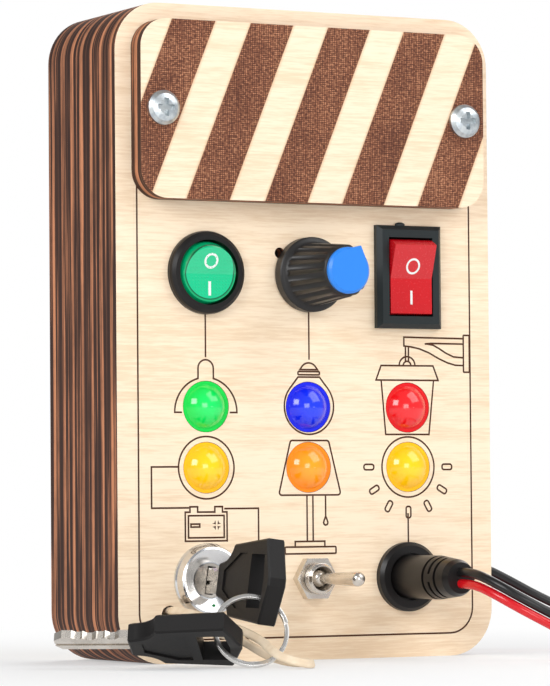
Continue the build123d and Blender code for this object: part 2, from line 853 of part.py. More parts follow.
def lace_knot():
    knot = Pos(lace_x, panel_back_y + knot_diameter / 2, lace_z) * Sphere(knot_diameter / 2)
    for side in (-1, 1):
        knot += rod(lace_x, lace_z + side * lace_strand, face_y, panel_back_y + 1.5, lace_diameter)
    return knot


# DC socket and its plug
def dc_socket():
    flange = socket_flange_diameter / 2
    socket = turned(
        socket_x, bottom_row,
        [
            (0, socket_front_y), (flange - 0.7, socket_front_y), (flange, socket_front_y + 0.7), (flange, face_y),
            (socket_body_diameter / 2, face_y), (socket_body_diameter / 2, socket_back_y), (0, socket_back_y),
        ],
    )
    bore_back_y = recess_back_y + jack_depth
    socket -= rod(socket_x, bottom_row, socket_front_y, recess_back_y, socket_recess_diameter)
    socket -= rod(socket_x, bottom_row, recess_back_y, bore_back_y, dc_barrel_diameter + 2 * running_gap)
    return socket + rod(socket_x, bottom_row, recess_back_y + jack_pin_set_back, bore_back_y + 1, jack_pin)


def dc_socket_nut():
    y_back = panel_back_y + socket_nut_height
    bore = socket_body_diameter + 2 * running_gap
    nut = hexagon(socket_x, bottom_row, panel_back_y, y_back, socket_nut_flats)
    return nut - rod(socket_x, bottom_row, panel_back_y, y_back, bore)


def dc_socket_lugs():
    end_y = socket_back_y + socket_lug_length
    return [
        block(socket_x + side * socket_lug_spacing / 2, bottom_row, socket_back_y, end_y, 0.6, lug_height) for side in (-1, 1)
    ]


# Moulded body that tapers to its strain relief, which is cut by staggered slots
def dc_plug_body():
    radius = dc_body_diameter / 2
    end = dc_body_end_diameter / 2
    straight_y = recess_back_y - dc_body_straight
    body = turned(
        socket_x, bottom_row,
        [
            (0, recess_back_y), (radius, recess_back_y), (radius, straight_y), (end + 0.4, dc_front_y + 1.4),
            (end - 0.2, dc_front_y), (0, dc_front_y),
        ],
    )
    for index in range(relief_slots):
        y_back = straight_y - index * relief_pitch
        ring = rod(socket_x, bottom_row, y_back - relief_slot, y_back, 2 * dc_body_diameter)
        ring -= rod(socket_x, bottom_row, y_back - relief_slot, y_back, dc_body_diameter - 2 * relief_depth)
        bridge = (2 * dc_body_diameter, 1.6) if index % 2 else (1.6, 2 * dc_body_diameter)
        ring -= block(socket_x, bottom_row, y_back - relief_slot, y_back, *bridge)
        body -= ring
    return body


def dc_plug_barrel():
    y_back = recess_back_y + dc_barrel_length
    barrel = rod(socket_x, bottom_row, recess_back_y, y_back, dc_barrel_diameter)
    return barrel - rod(socket_x, bottom_row, recess_back_y, y_back, jack_pin + 2 * drill_gap)


# Twin lead: chosen points down the middle of the pair, from the plug to the case's right side
lead_route = [
    (socket_x, dc_front_y, bottom_row),
    (socket_x, -41.5, bottom_row),
    (23.6, -46.4, 14.6),
    (27.0, -50.2, 11.8),
    (32.6, -52.3, 8.6),
    (38.8, -52.7, 5.6),
    (46.0, -51.6, 3.3),
    (55.0, -48.6, 2.1),
    (64.5, -43.0, 2.1),
    (72.5, -34.5, 2.1),
    (77.0, -23.5, 2.2),
    (76.2, -12.6, 3.4),
    (70.4, -4.6, 6.2),
    (62.6, -1.0, 10.2),
    (55.4, 0.0, 14.0),
    (49.4, 0.0, lead_z),
    (lead_end_x, 0.0, lead_z),
]


def lead(side):
    points = [(x, y, z + side * lead_pitch / 2) for x, y, z in lead_route]
    return tube(points, lead_diameter, corner_radii(points))


def lead_grommet():
    flange = Pos(side_x + grommet_flange / 2, 0, lead_z) * Box(grommet_flange, grommet_width, grommet_height)
    flange = fillet(flange.edges().filter_by(Axis.X), 1.4)
    stem = Pos(side_x - frame_wall / 2, 0, lead_z) * Box(
        frame_wall, sheet - 2 * drop_in_gap, window_height - 2 * drop_in_gap
    )
    return flange + stem


# Hook-up wire, from (x, z) places in one plane
def wire(y, *places):
    return tube([(x, y, z) for x, z in places], wire_diameter, wire_bend)[0]


def straight_wire(y, x, z, end_x, end_z):
    path = Line((x, y, z), (end_x, y, end_z))
    return sweep(Plane(origin=path @ 0, z_dir=path % 0) * Circle(wire_diameter / 2), path=path)


# From a lug of the potentiometer back to the wire's plane, and on from there
def lug_wire(side, y, end_x, end_z):
    x = side * pot_lug_spacing
    points = [(x, pot_lug_end_y, pot_lug_z), (x, y, pot_lug_z), (end_x, y, end_z)]
    return tube(points, wire_diameter, wire_bend)[0]


# From the cells through the key switch to the feed, from the feed to the switches, and on to the lamps
def red_wires():
    tray_z = cover_z - tray_height / 2
    upper = switch_row + terminal_spacing / 2
    lower = switch_row - terminal_spacing / 2 - terminal_thickness / 2
    edge = terminal_width / 2
    lug = lock_lug_spacing / 2 + 0.65
    touch = wire_diameter / 2
    lamp_end = lower_lamp_row + lamp_leg_spacing / 2 - touch
    return [
        wire(
            red_y, (-24, tray_z), (-24, 90), (red_side_x, 86), (red_side_x, 20), (-column - lug, bottom_row)
        ),
        wire(red_y, (-column + lug, bottom_row), (feed_x, 22), (feed_x, upper + wire_diameter)),
        straight_wire(red_y, feed_x - touch, upper, -column + edge, upper),
        straight_wire(red_y, feed_x + touch, upper, column - edge, upper),
        wire(
            red_y, (feed_x + touch, 28), (toggle_x - toggle_lug_spacing, 28),
            (toggle_x - toggle_lug_spacing, bottom_row + 1.0),
        ),
        wire(
            red_y, (toggle_x, bottom_row + 1.0), (toggle_x, 23),
            (socket_x - socket_lug_spacing / 2, 23), (socket_x - socket_lug_spacing / 2, bottom_row + lug_height / 2),
        ),
        lug_wire(-1, red_y, feed_x + touch, pot_lug_z),
        lug_wire(0, red_y, 0, lamp_end),
        straight_wire(red_y, -column, lower, -column, lamp_end),
        straight_wire(red_y, column, lower, column, lamp_end),
    ]


# The common return of cells, lamps, potentiometer and socket
def black_wires():
    tray_z = cover_z - tray_height / 2
    touch = black_side_x - wire_diameter / 2
    lug_x = socket_x + socket_lug_spacing / 2
    wires = [
        wire(
            black_y, (26, tray_z), (26, 90), (black_side_x, 84), (black_side_x, 29), (lug_x, 25),
            (lug_x, bottom_row + lug_height / 2),
        ),
        lug_wire(1, black_y, touch, pot_lug_z),
    ]
    for row in (upper_lamp_row, lower_lamp_row):
        z = row - lamp_leg_spacing / 2
        wires.append(straight_wire(black_y, -column - wire_diameter / 2, z, touch, z))
    return wires


# A piece is one solid, and a set of like pieces is a group of them
def save(name, *pieces):
    shape = pieces[0] if len(pieces) == 1 else Compound(children=list(pieces))
    export_step(shape, f"parts/{name}.step")


lamps = {
    "led_green": (-column, upper_lamp_row),
    "led_blue": (0, upper_lamp_row),
    "led_red": (column, upper_lamp_row),
    "led_yellow_left": (-column, lower_lamp_row),
    "led_orange": (0, lower_lamp_row),
    "led_yellow_right": (column, lower_lamp_row),
}

os.makedirs("parts", exist_ok=True)

save("front_panel", front_panel())
for index in range(frame_count):
    save(f"frame_{index + 1}", frame(index))
save("back_panel", panel(back_panel_y))
save("cover_plate", cover_plate())
save("cover_screws", cover_screw(-screw_x), cover_screw(screw_x))

save("battery_holder", battery_tray())
save("batteries", battery(-1), battery(1))
save("battery_contacts", *[contact(side) for side in (-1, 1) for contact in (cap_contact, spring_contact)])

save("round_switch_body", round_switch_body())
save("round_rocker", rocker(-column, round_opening_diameter / 2, round_rocker_width, True))
save("round_switch_terminals", *switch_terminals(-column))
save("rect_switch_body", rect_switch_body())
save("rect_rocker", rocker(column, rect_opening_height / 2, rect_rocker_width, False))
save("rect_switch_terminals", *switch_terminals(column))

save("pot_body", pot_body())
save("pot_terminals", *pot_lugs())
save("pot_nut", pot_nut())
save("pot_shaft", pot_shaft())
save("knob_body", knob_body())
save("knob_cap", knob_cap())

save("toggle_body", toggle_body())
save("toggle_bushing", toggle_bushing())
save("toggle_nut", toggle_nut())
save("toggle_lever", toggle_lever())
save("toggle_terminals", *toggle_terminals())

save("lock_body", lock_body())
save("lock_nut", lock_nut())
save("lock_plug", lock_plug())
save("lock_terminals", *lock_terminals())

for name, place in (("key_1", key_1_plane), ("key_2", key_2_plane)):
    save(f"{name}_head", place * key_head())
    save(f"{name}_blade", place * key_blade())
save("key_ring", key_ring())
lace, lace_path = tube(lace_route, lace_diameter, corner_radii(lace_route))
save("lace", lace)
save("lace_knot", lace_knot())

for name, (x, z) in lamps.items():
    save(name, lamp(x, z))
save("led_legs", *[leg for x, z in lamps.values() for leg in lamp_legs(x, z)])

save("dc_socket", dc_socket())
save("dc_socket_nut", dc_socket_nut())
save("dc_socket_terminals", *dc_socket_lugs())
save("dc_plug_body", dc_plug_body())
save("dc_plug_barrel", dc_plug_barrel())
save("lead_grommet", lead_grommet())
lead_red, lead_path = lead(-1)
save("lead_red", lead_red)
save("lead_black", lead(1)[0])

save("wiring_red", *red_wires())
save("wiring_black", *black_wires())

for name, path, solid, diameter, points in (
    ("lace", lace_path, lace, lace_diameter, lace_route),
    ("lead", lead_path, lead_red, lead_diameter, lead_route),
):
    ratio = solid.volume / (math.pi * diameter**2 / 4 * path.length)
    print(f"{name}: length {path.length:.1f}, volume ratio {ratio:.4f}")
    print("  radii", [round(radius, 1) for radius in corner_radii(points)])
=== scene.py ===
import json
import math

import bmesh
import bpy
from mathutils import Matrix, Vector
from mathutils.bvhtree import BVHTree


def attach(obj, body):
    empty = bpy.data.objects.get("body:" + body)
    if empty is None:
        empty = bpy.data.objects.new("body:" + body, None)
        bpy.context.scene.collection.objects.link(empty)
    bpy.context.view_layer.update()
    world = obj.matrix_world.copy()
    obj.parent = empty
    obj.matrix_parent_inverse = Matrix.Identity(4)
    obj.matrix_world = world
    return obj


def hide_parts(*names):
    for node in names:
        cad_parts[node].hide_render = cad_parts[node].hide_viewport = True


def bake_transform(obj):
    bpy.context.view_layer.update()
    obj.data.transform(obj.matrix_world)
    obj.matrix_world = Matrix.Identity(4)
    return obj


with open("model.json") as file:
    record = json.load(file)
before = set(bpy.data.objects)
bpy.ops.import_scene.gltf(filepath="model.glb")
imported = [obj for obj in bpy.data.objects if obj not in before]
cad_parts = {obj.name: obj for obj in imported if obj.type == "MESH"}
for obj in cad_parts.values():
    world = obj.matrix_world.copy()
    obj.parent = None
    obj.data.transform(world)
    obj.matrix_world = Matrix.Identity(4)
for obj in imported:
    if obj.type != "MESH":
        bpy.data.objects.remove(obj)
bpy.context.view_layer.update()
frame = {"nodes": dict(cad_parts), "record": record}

nodes = frame["nodes"]
mm = 0.001
print("frame loaded:", len(nodes), "nodes")


# Camera: a long lens, low down and to the left of the board
camera = {
    "place": (-0.3696, -0.6892, 0.0314),
    "yaw": 28.26,
    "pitch": 2.38,
    "roll": -0.48,
    "sensor": 36.0,
    "focalPixels": 3840,
    "imageHeight": 686,
}


def cameraAxes():
    yaw, pitch, roll = (math.radians(camera[k]) for k in ("yaw", "pitch", "roll"))
    level = Vector((math.sin(yaw), math.cos(yaw), 0))
    right = Vector((math.cos(yaw), -math.sin(yaw), 0))
    ahead = level * math.cos(pitch) + Vector((0, 0, math.sin(pitch)))
    up = right.cross(ahead)
    return right * math.cos(roll) + up * math.sin(roll), up * math.cos(roll) - right * math.sin(roll), ahead


def aimed(place, right, up, ahead):
    turn = Matrix((right, up, -ahead)).transposed().to_4x4()
    return Matrix.Translation(Vector(place)) @ turn


def buildCamera():
    data = bpy.data.cameras.new("boardCamera")
    data.sensor_fit = "VERTICAL"
    data.sensor_height = camera["sensor"]
    data.lens = camera["focalPixels"] * camera["sensor"] / camera["imageHeight"]
    data.clip_start = 0.01
    data.clip_end = 50
    view = bpy.data.objects.new("boardCamera", data)
    bpy.context.scene.collection.objects.link(view)
    view.matrix_world = aimed(camera["place"], *cameraAxes())
    bpy.context.scene.camera = view


buildCamera()
bpy.context.scene.view_settings.view_transform = "Standard"
print("camera placed")


# Places of the controls on the front, in millimetres
columns = (-23.0, 0.0, 23.0)
switchRow = 76.9
bottomRow = 16.2
toggleX = 0.8


# Shader maths: a socket that adds its Math node when an operator is used
class Amount:
    def __init__(self, finish, socket):
        self.finish = finish
        self.socket = socket

    def math(self, operation, *others):
        values = dict(enumerate((self, *others)))
        return self.finish.add("ShaderNodeMath", {"operation": operation}, values)

    def __add__(self, other):
        return self.math("ADD", other)

    def __sub__(self, other):
        return self.math("SUBTRACT", other)

    def __mul__(self, other):
        return self.math("MULTIPLY", other)

    def __truediv__(self, other):
        return self.math("DIVIDE", other)

    def __rsub__(self, other):
        return self.math("MULTIPLY", -1.0) + other

    def __abs__(self):
        return self.math("ABSOLUTE")

    def __gt__(self, other):
        return self.math("GREATER_THAN", other)

    def __lt__(self, other):
        return self.math("LESS_THAN", other)

    __radd__ = __add__
    __rmul__ = __mul__

    def fraction(self):
        return self.math("FRACT")

    def most(self, other):
        return self.math("MAXIMUM", other)


class Finish:
    def __init__(self, name, colour, **sockets):
        self.material = bpy.data.materials.new(name)
        self.material.use_nodes = True
        self.tree = self.material.node_tree
        self.shader = self.tree.nodes["Principled BSDF"]
        self.shader.inputs["Base Color"].default_value = linear(colour)
        for socket, value in sockets.items():
            self.shader.inputs[socket.replace("_", " ")].default_value = value

    # Any node: its settings first, then the values or links of its sockets
    def add(self, kind, settings, values, output=0):
        node = self.tree.nodes.new(kind)
        for setting, value in settings.items():
            if setting == "stops":
                while len(node.color_ramp.elements) < len(value):
                    node.color_ramp.elements.new(0.5)
                for element, (place, colour) in zip(node.color_ramp.elements, value):
                    element.position = place
                    element.color = colour
            else:
                setattr(node, setting, value)
        for socket, value in values.items():
            if isinstance(value, Amount):
                self.tree.links.new(value.socket, node.inputs[socket])
            else:
                node.inputs[socket].default_value = value
        return Amount(self, node.outputs[output])

    def feed(self, socket, value):
        self.tree.links.new(value.socket, self.shader.inputs[socket])

    def place(self):
        where = self.add("ShaderNodeTexCoord", {}, {}, "Object")
        return [self.add("ShaderNodeSeparateXYZ", {}, {0: where}, axis) for axis in "XYZ"]

    def facing(self):
        normal = self.add("ShaderNodeNewGeometry", {}, {}, "True Normal")
        return [self.add("ShaderNodeSeparateXYZ", {}, {0: normal}, axis) for axis in "XYZ"]

    def stretched(self, x, y, z):
        where = self.add("ShaderNodeTexCoord", {}, {}, "Object")
        return self.add("ShaderNodeMapping", {}, {"Vector": where, "Scale": (x, y, z)})

    def noise(self, vector, scale, detail=3.0, rough=0.5):
        values = {"Vector": vector, "Scale": scale, "Detail": detail, "Roughness": rough}
        return self.add("ShaderNodeTexNoise", {}, values, 0)

    def ramp(self, value, *stops):
        coloured = [(place, linear(colour)) for place, colour in stops]
        return self.add("ShaderNodeValToRGB", {"stops": coloured}, {0: value})

    # From one colour to the other as the share goes from 0 to 1
    def mixed(self, share, low, high):
        low, high = (c if isinstance(c, Amount) else linear(c) for c in (low, high))
        return self.add("ShaderNodeMix", {"data_type": "RGBA"}, {0: share, 6: low, 7: high}, 2)

    def step(self, value, low, high):
        values = {"Value": value, "From Min": low, "From Max": high}
        return self.add("ShaderNodeMapRange", {"interpolation_type": "SMOOTHSTEP"}, values)

    def bump(self, height, distance, strength=1.0):
        values = {"Height": height, "Distance": distance, "Strength": strength}
        self.feed("Normal", self.add("ShaderNodeBump", {}, values))


# An sRGB colour, 0 to 255, as Blender's linear one
def linear(colour):
    parts = [c / 255 for c in colour]
    return tuple(c / 12.92 if c <= 0.04045 else ((c + 0.055) / 1.055) ** 2.4 for c in parts) + (1.0,)


# Plywood: pale faces, burnt edges with their plies, and burnt grooves just below the face
ply = {
    "sheet": 4.4 * mm,
    "front": -15.4 * mm,
    "pale": (252, 231, 203),
    "grain": (238, 211, 178),
    "burnt": (58, 34, 26),
    "copper": (214, 142, 102),
    "groove": (92, 54, 34),
    "grooveTop": 0.03 * mm,
    "grooveDepth": 0.3 * mm,
}


def paleFace(finish):
    pores = finish.noise(finish.stretched(150, 400, 2100), 1.0, 4.0, 0.65)
    streaks = finish.noise(finish.stretched(26, 90, 420), 1.0, 3.0, 0.55)
    patches = finish.noise(finish.stretched(12, 30, 34), 1.0, 2.0)
    share = finish.step(pores * 0.5 + streaks * 0.3 + patches * 0.2, 0.42, 0.62)
    return finish.mixed(share, ply["pale"], ply["grain"])


def burntEdge(finish, y):
    sheetPart = ((y - ply["front"]) / ply["sheet"] + 20.0).fraction()
    wander = finish.noise(finish.stretched(30, 60, 30), 1.0, 2.0) * 0.12 - 0.06  # plies wander
    fromMiddle = abs(sheetPart + wander - 0.5)
    middlePly = 1.0 - finish.step(fromMiddle, 0.10, 0.19)
    joint = finish.step(fromMiddle, 0.42, 0.5)
    lines = finish.noise(finish.stretched(14, 1500, 20), 1.0, 2.0)  # thin lines along each ply
    smoke = finish.noise(finish.stretched(90, 300, 110), 1.0, 4.0, 0.7)  # where the burn is deeper
    thin = finish.step(lines, 0.53, 0.63)
    glow = middlePly * finish.step(lines, 0.26, 0.5) * 0.9 + joint * 0.16 + thin * 0.7
    return finish.mixed(glow * (smoke * 1.3 + 0.1), ply["burnt"], ply["copper"])


def plywood():
    finish = Finish("plywood", ply["pale"], Roughness=0.62, Specular_IOR_Level=0.3)
    y = finish.place()[1]
    side = abs(finish.facing()[1]) < 0.5
    depth = y - ply["front"]
    grooved = (depth > ply["grooveTop"]) * (depth < ply["grooveDepth"])
    wood = finish.mixed(grooved, paleFace(finish), ply["groove"])
    finish.feed("Base Color", finish.mixed(side, wood, burntEdge(finish, y)))
    finish.bump(finish.noise(finish.stretched(40, 900, 700), 1.0), 0.02 * mm, 0.5)
    return finish.material


# Cover stripes: a laser raster, darker and lighter in patches, with a scorched border
stripes = {
    "lean": 22.5,
    "period": 17.5 * mm,
    "dark": 9.55 * mm,
    "start": -84.4 * mm,
    "edge": 0.08 * mm,
    "halo": 0.7 * mm,
    "scorch": (214, 160, 104),
    "waves": (1250, 15500, 16500),
    "burn": ((0.34, (74, 40, 29)), (0.55, (112, 65, 44)), (0.66, (140, 88, 62)), (0.8, (196, 140, 104))),
}


def stripedPlywood():
    finish = Finish("stripedPlywood", ply["pale"], Roughness=0.62, Specular_IOR_Level=0.3)
    x, y, z = finish.place()
    across = (x - z * math.tan(math.radians(stripes["lean"])) - stripes["start"]) / stripes["period"]
    part = across.fraction()
    share = stripes["dark"] / stripes["period"]
    fromMiddle = abs(part - share / 2)
    edge = stripes["edge"] / stripes["period"]
    dark = 1.0 - finish.step(fromMiddle, share / 2 - edge, share / 2 + edge)
    dark = dark.most(finish.step(part, 1 - edge, 1.0))
    halo = stripes["halo"] / stripes["period"]
    scorch = 1.0 - finish.step(fromMiddle, share / 2, share / 2 + halo)
    scorch = scorch.most(finish.step(part, 1 - halo, 1.0))
    rows = finish.noise(finish.stretched(1500, 1, 2300), 1.0, 1.0)
    broad, fine, lines = (
        (along * turns).math("SINE") for along, turns in zip((x, x, z), stripes["waves"])
    )
    weave = (broad * lines + fine) * 0.12
    patches = finish.noise(finish.stretched(90, 1, 90), 1.0, 3.0, 0.6)
    tone = rows * 0.75 + weave + patches * 0.35
    raster = finish.ramp(tone, *stripes["burn"])
    wood = finish.mixed(scorch * 0.45, paleFace(finish), stripes["scorch"])
    wood = finish.mixed(dark, wood, raster)
    front = abs(finish.facing()[1]) < 0.5
    finish.feed("Base Color", finish.mixed(front, wood, burntEdge(finish, y)))
    finish.bump((1.0 - dark) * 0.8 + rows * dark * 0.4, 0.12 * mm, 0.6)
    return finish.material


def speckled(name, colour, dark, scale, rough, **sockets):
    finish = Finish(name, colour, **sockets)
    marks = finish.noise(finish.stretched(scale, scale, scale), 1.0, 3.0)
    finish.feed("Base Color", finish.mixed(finish.step(marks, 0.35, 0.7), colour, dark))
    finish.feed("Roughness", finish.step(marks, 0.2, 0.8) * 0.12 + rough)
    return finish.material


def metal(name, colour, dark, rough, scale=700):
    return speckled(name, colour, dark, scale, rough, Metallic=1.0)


def plastic(name, colour, rough, grain=0.0, **sockets):
    finish = Finish(name, colour, Roughness=rough, **sockets)
    marks = finish.noise(finish.stretched(2600, 2600, 2600), 1.0, 2.0)
    finish.feed("Roughness", marks * 0.1 + (rough - 0.05))
    if grain:
        finish.bump(marks, grain * mm, 0.6)
    return finish.material


# A lamp's diffused resin, with painted shade: darker and deeper in colour at the rim of the dome than at
# its crown
lamp = {"crownY": -20.3 * mm, "rimY": -15.6 * mm, "glow": 0.22}


def resin(name, crown, shadedRim):
    finish = Finish(
        name, crown, Roughness=0.14, Coat_Weight=0.5, Coat_Roughness=0.05, Emission_Strength=lamp["glow"]
    )
    y = finish.place()[1]
    # Painted shade: the colour turns from the crown's to the darker rim's towards the panel.
    colour = finish.mixed(finish.step(y, lamp["crownY"], lamp["rimY"]), crown, shadedRim)
    finish.feed("Base Color", colour)
    finish.feed("Emission Color", colour)
    return finish.material


def knobBlack():
    finish = Finish("knobBlack", (27, 25, 25), Roughness=0.42, Specular_IOR_Level=0.45)
    marks = finish.noise(finish.stretched(900, 120, 900), 1.0, 3.0)
    finish.feed("Roughness", marks * 0.2 + 0.3)
    return finish.material


# The round rocker: painted shade on the wall round its disc, with a fine painted shade line between them
disc = {
    "edge": (5.15 * mm, 5.25 * mm),
    "shadeLineEnd": (5.3 * mm, 5.6 * mm),
    "face": (6, 186, 130),
    "paintedWallShade": (2, 158, 100),
    "line": (0, 70, 46),
}


def greenLens():
    # The lens also gets a faint painted glow in its own colour.
    finish = Finish("greenLens", disc["face"], Roughness=0.16, Coat_Weight=0.6, Emission_Strength=0.2)
    x, z = finish.place()[::2]
    x, z = x - columns[0] * mm, z - switchRow * mm
    away = (x * x + z * z).math("SQRT")
    # Painted shade: the wall round the disc is darker, and a dark line is painted where the disc meets it.
    paintedWallShade = finish.step(away, *disc["edge"])
    line = paintedWallShade * (1.0 - finish.step(away, *disc["shadeLineEnd"]))
    colour = finish.mixed(paintedWallShade, disc["face"], disc["paintedWallShade"])
    colour = finish.mixed(line * 0.9, colour, disc["line"])
    finish.feed("Base Color", colour)
    finish.feed("Emission Color", colour)
    return finish.material


def buildMaterials():
    return {
        "plywood": plywood(),
        "striped": stripedPlywood(),
        "nickel": metal("nickel", (222, 216, 208), (206, 199, 190), 0.2, 300),
        "zinc": metal("zinc", (214, 220, 222), (184, 192, 198), 0.32, 900),
        "chrome": metal("chrome", (226, 228, 231), (216, 218, 222), 0.12, 200),
        "steel": metal("steel", (232, 231, 229), (216, 214, 211), 0.22, 300),
        "black_plastic": plastic("blackPlastic", (20, 18, 18), 0.48, 0.02, Specular_IOR_Level=0.28),
        "slate": plastic("slateHousing", (30, 38, 40), 0.4, 0.01, Specular_IOR_Level=0.4),
        "black_gloss": plastic("blackGloss", (22, 20, 20), 0.34, 0.006, Specular_IOR_Level=0.35),
        "green_lens": greenLens(),
        "red_rocker": plastic("redRocker", (206, 12, 26), 0.26, 0.0, Coat_Weight=0.3),
        "knob_black": knobBlack(),
        "knob_blue": plastic("knobBlue", (38, 132, 234), 0.36, 0.01),
        "lamp_green": resin("lampGreen", (16, 240, 122), (0, 204, 70)),
        "lamp_blue": resin("lampBlue", (24, 72, 250), (8, 26, 214)),
        "lamp_red": resin("lampRed", (246, 40, 46), (214, 10, 18)),
        "lamp_yellow": resin("lampYellow", (254, 220, 24), (242, 182, 4)),
        "lamp_orange": resin("lampOrange", (253, 180, 40), (242, 132, 6)),
        "brass": metal("brass", (214, 190, 130), (180, 150, 96), 0.3),
        "cell": plastic("cellSleeve", (140, 142, 146), 0.3),
        "lead_black": plastic("leadBlack", (20, 20, 21), 0.3, 0.004),
        "lead_red": plastic("leadRed", (214, 12, 26), 0.24, 0.004, Coat_Weight=0.2),
        "lace": speckled("lace", (240, 222, 196), (230, 208, 178), 400, 0.45),
        "print": plastic("whitePrint", (236, 240, 238), 0.4),
        "greenDot": plastic("greenDot", (20, 128, 66), 0.4),
    }


materials = buildMaterials()


def paintNodes():
    slots = {part["node"]: part["material_slot"] for part in frame["record"]["subparts"]}
    slots.update(cover_plate="striped", rect_switch_body="slate")
    for name, node in nodes.items():
        node.data.materials.clear()
        node.data.materials.append(materials[slots[name]])


paintNodes()
print("materials:", len(materials))


# Meshes
def addObject(name, mesh, material):
    piece = bpy.data.objects.new(name, mesh)
    bpy.context.scene.collection.objects.link(piece)
    mesh.materials.clear()
    mesh.materials.append(materials[material])
    return piece


def settle(piece, body, slot, *replaced):
    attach(piece, body)
    if replaced:
        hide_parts(*replaced)


# Cords: the routes down their middles, in millimetres
lead = {
    "diameter": 1.9 * mm,
    "pitch": 2.25,
    "plugX": 22.4,
    "plugZ": 16.2,
    "exitX": 43.5,
    "exitZ": 16.6,
    "length": 0.1313,
}
leadRoute = [
    (lead["plugX"], -36.9, lead["plugZ"]),
    (lead["plugX"], -41.5, lead["plugZ"]),
    (23.6, -46.4, 14.6),
    (27.0, -50.2, 11.8),
    (32.6, -52.3, 8.6),
    (38.8, -52.7, 5.6),
    (46.0, -51.6, 3.3),
    (55.0, -48.6, 2.1),
    (64.5, -43.0, 2.1),
    (72.5, -34.5, 2.1),
    (77.0, -23.5, 2.2),
    (76.2, -12.6, 3.4),
    (70.4, -4.6, 6.2),
    (62.6, -1.0, 10.2),
    (55.4, 0.0, 14.0),
    (49.4, 0.0, lead["exitZ"]),
    (lead["exitX"], 0.0, lead["exitZ"]),
]
lace = {
    "width": 1.7 * mm,
    "thickness": 0.9 * mm,
    "x": -31.3,
    "z": 9.65,
    "strand": 0.8,
    "length": 0.0853,
}
laceRoute = [
    (lace["x"], -15.7, lace["z"] - lace["strand"]),
    (lace["x"], -19.2, lace["z"] - lace["strand"]),
    (-30.2, -25.0, 7.7),
    (-29.2, -31.5, 6.4),
    (-27.4, -37.6, 5.4),
    (-24.1, -41.6, 2.3),
    (-20.9, -44.4, 1.0),
    (-18.3, -47.6, 0.9),
    (-18.8, -51.3, 0.9),
    (-22.2, -53.3, 1.1),
    (-25.7, -51.2, 2.2),
    (-26.1, -46.8, 3.8),
    (-25.2, -42.2, 5.2),
    (-26.9, -37.0, 7.1),
    (-27.9, -30.3, 8.3),
    (-30.1, -23.4, 9.9),
    (lace["x"], -19.2, lace["z"] + lace["strand"]),
    (lace["x"], -15.7, lace["z"] + lace["strand"]),
]


def routeCurve(name, route, radius=0.0, flat=0.0):
    curve = bpy.data.curves.new(name, "CURVE")
    curve.dimensions = "3D"
    spline = curve.splines.new("NURBS")
    spline.points.add(len(route) - 1)
    for point, place in zip(spline.points, route):
        point.co = (*(c * mm for c in place), 1)
    spline.order_u = 3
    spline.use_endpoint_u = True
    curve.resolution_u = 10
    curve.bevel_depth = radius
    curve.bevel_resolution = 6
    curve.extrude = flat
    curve.use_fill_caps = True
    return bpy.data.objects.new(name, curve)


def routeMesh(name, route, radius=0.0):
    curve = routeCurve(name + "Curve", route, radius)
    bpy.context.scene.collection.objects.link(curve)
    mesh = bpy.data.meshes.new_from_object(curve.evaluated_get(bpy.context.evaluated_depsgraph_get()))
    bpy.data.objects.remove(curve)
    return mesh


def buildLead():
    for name, side, end in (("lead_black", 1, "dc_plug_body"), ("lead_red", -1, "dc_plug_barrel")):
        rise = side * lead["pitch"] / 2
        route = [(x, y, z + rise) for x, y, z in reversed(leadRoute)]
        line = [tuple(v.co) for v in routeMesh(name + "_line", route).vertices]
        wire = addObject(name + "_wire", routeMesh(name, route, lead["diameter"] / 2), name)
        wire.data.shade_smooth()
        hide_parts(name)
        tuple(line[0])
        tuple(c * mm for c in route[-1])
        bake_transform(wire)
        tuple(line[0])


def buildLace():
    thick, wide = lace["thickness"], lace["width"]
    thong = routeCurve("lace_thong", laceRoute, thick / 2, (wide - thick) / 2)
    thong.data.materials.append(materials["lace"])
    bpy.context.scene.collection.objects.link(thong)
    settle(thong, "key_ring", "lace", "lace")
    tuple(c * mm for c in laceRoute[0])


buildLead()
buildLace()
print("cords: lead of two wires, lace")


# Lines on a flat face: each is a strip of even width with mitred corners, in (x, z)
def arc(x, z, radius, start, end, steps=24):
    angles = [math.radians(start + (end - start) * i / steps) for i in range(steps + 1)]
    return [(x + radius * math.cos(a), z + radius * math.sin(a)) for a in angles]


def circle(x, z, radius, steps=64):
    return arc(x, z, radius, 0, 360 - 360 / steps, steps - 1)


def box(left, bottom, right, top):
    return [(left, bottom), (right, bottom), (right, top), (left, top)]


def rounded(corners, radius, steps=6):
    points = []
    for before, here, after in zip(corners[-1:] + corners[:-1], corners, corners[1:] + corners[:1]):
        here = Vector(here)
        back = (Vector(before) - here).normalized()
        on = (Vector(after) - here).normalized()
        half = back.angle(on) / 2
        centre = here + (back + on).normalized() * radius / math.sin(half)
        first = here + back * radius / math.tan(half) - centre
        last = here + on * radius / math.tan(half) - centre
        turn = first.angle_signed(last)
        for i in range(steps + 1):
            step = first.copy()
            step.rotate(Matrix.Rotation(-turn * i / steps, 2))
            points.append(tuple(centre + step))
    return points


# The two sides of a strip along a line
def sides(points, width, closed):
    points = [Vector(p) for p in points]
    left, right = [], []
    for i, here in enumerate(points):
        runs = []
        if closed or i:
            runs.append((here - points[i - 1]).normalized())
        if closed or i < len(points) - 1:
            runs.append((points[(i + 1) % len(points)] - here).normalized())
        along = sum(runs, Vector((0, 0))).normalized()
        out = Vector((-along.y, along.x)) * width / 2 / max(0.4, along.dot(runs[0]))
        left.append(here + out)
        right.append(here - out)
    return left, right


